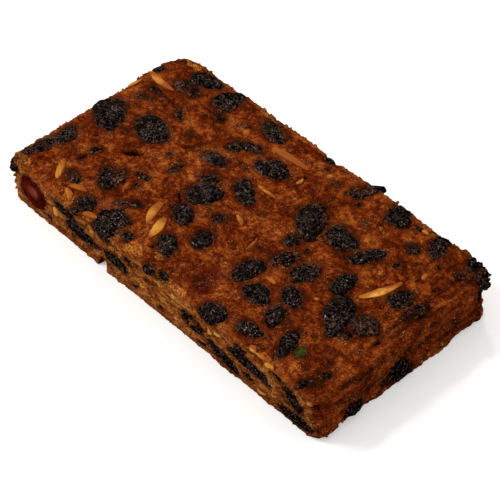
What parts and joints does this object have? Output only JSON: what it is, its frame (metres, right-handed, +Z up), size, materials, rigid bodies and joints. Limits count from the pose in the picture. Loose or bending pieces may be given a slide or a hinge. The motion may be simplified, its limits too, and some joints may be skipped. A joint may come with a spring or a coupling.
{
  "type": "fruit cake slice",
  "caption": "Long low slice of dark fruit cake, with raisins, glace cherries, candied peel and slivered almonds set in the crumb; three cut sides and one baked end.",
  "frame": {"origin": "centre of the slice's base, on the surface it stands on", "axes": "+X runs along the slice to its baked end, +Z is up through the baked top, and -Y is the cut side that shows the halved cherry"},
  "size_m": [0.1438, 0.0786, 0.0184],
  "materials": {
    "cake": null,
    "raisin": "wrinkled, near black, satin",
    "almond": "toasted, satin",
    "cherry": "dark red, syrupy, glossy",
    "peel": "dark green, candied, glossy"
  },
  "bodies": {
    "root": {"cake": "cake", "almond_01": "almond", "almond_02": "almond", "almond_03": "almond", "almond_04": "almond", "almond_05": "almond", "almond_06": "almond", "cherry_half": "cherry", "cherry_sunk": "cherry", "peel_green": "peel", "raisin_01": "raisin", "raisin_02": "raisin", "raisin_03": "raisin", "raisin_04": "raisin", "raisin_05": "raisin", "raisin_06": "raisin", "raisin_07": "raisin", "raisin_08": "raisin", "raisin_09": "raisin", "raisin_10": "raisin", "raisin_11": "raisin", "raisin_12": "raisin", "raisin_13": "raisin", "raisin_14": "raisin", "raisin_15": "raisin", "raisin_16": "raisin", "raisin_17": "raisin", "raisin_18": "raisin", "raisin_19": "raisin", "raisin_20": "raisin", "raisin_21": "raisin", "raisin_22": "raisin", "raisin_23": "raisin", "raisin_24": "raisin", "raisin_25": "raisin", "raisin_26": "raisin", "raisin_27": "raisin", "raisin_28": "raisin", "raisin_29": "raisin", "raisin_30": "raisin", "raisin_31": "raisin", "raisin_32": "raisin", "raisin_33": "raisin", "raisin_34": "raisin", "raisin_35": "raisin", "raisin_36": "raisin", "raisin_37": "raisin", "raisin_38": "raisin", "raisin_39": "raisin", "raisin_40": "raisin", "raisin_41": "raisin", "raisin_42": "raisin", "raisin_43": "raisin", "raisin_44": "raisin", "raisin_45": "raisin", "raisin_46": "raisin", "raisin_47": "raisin", "raisin_48": "raisin", "raisin_49": "raisin"}
  },
  "joints": []
}
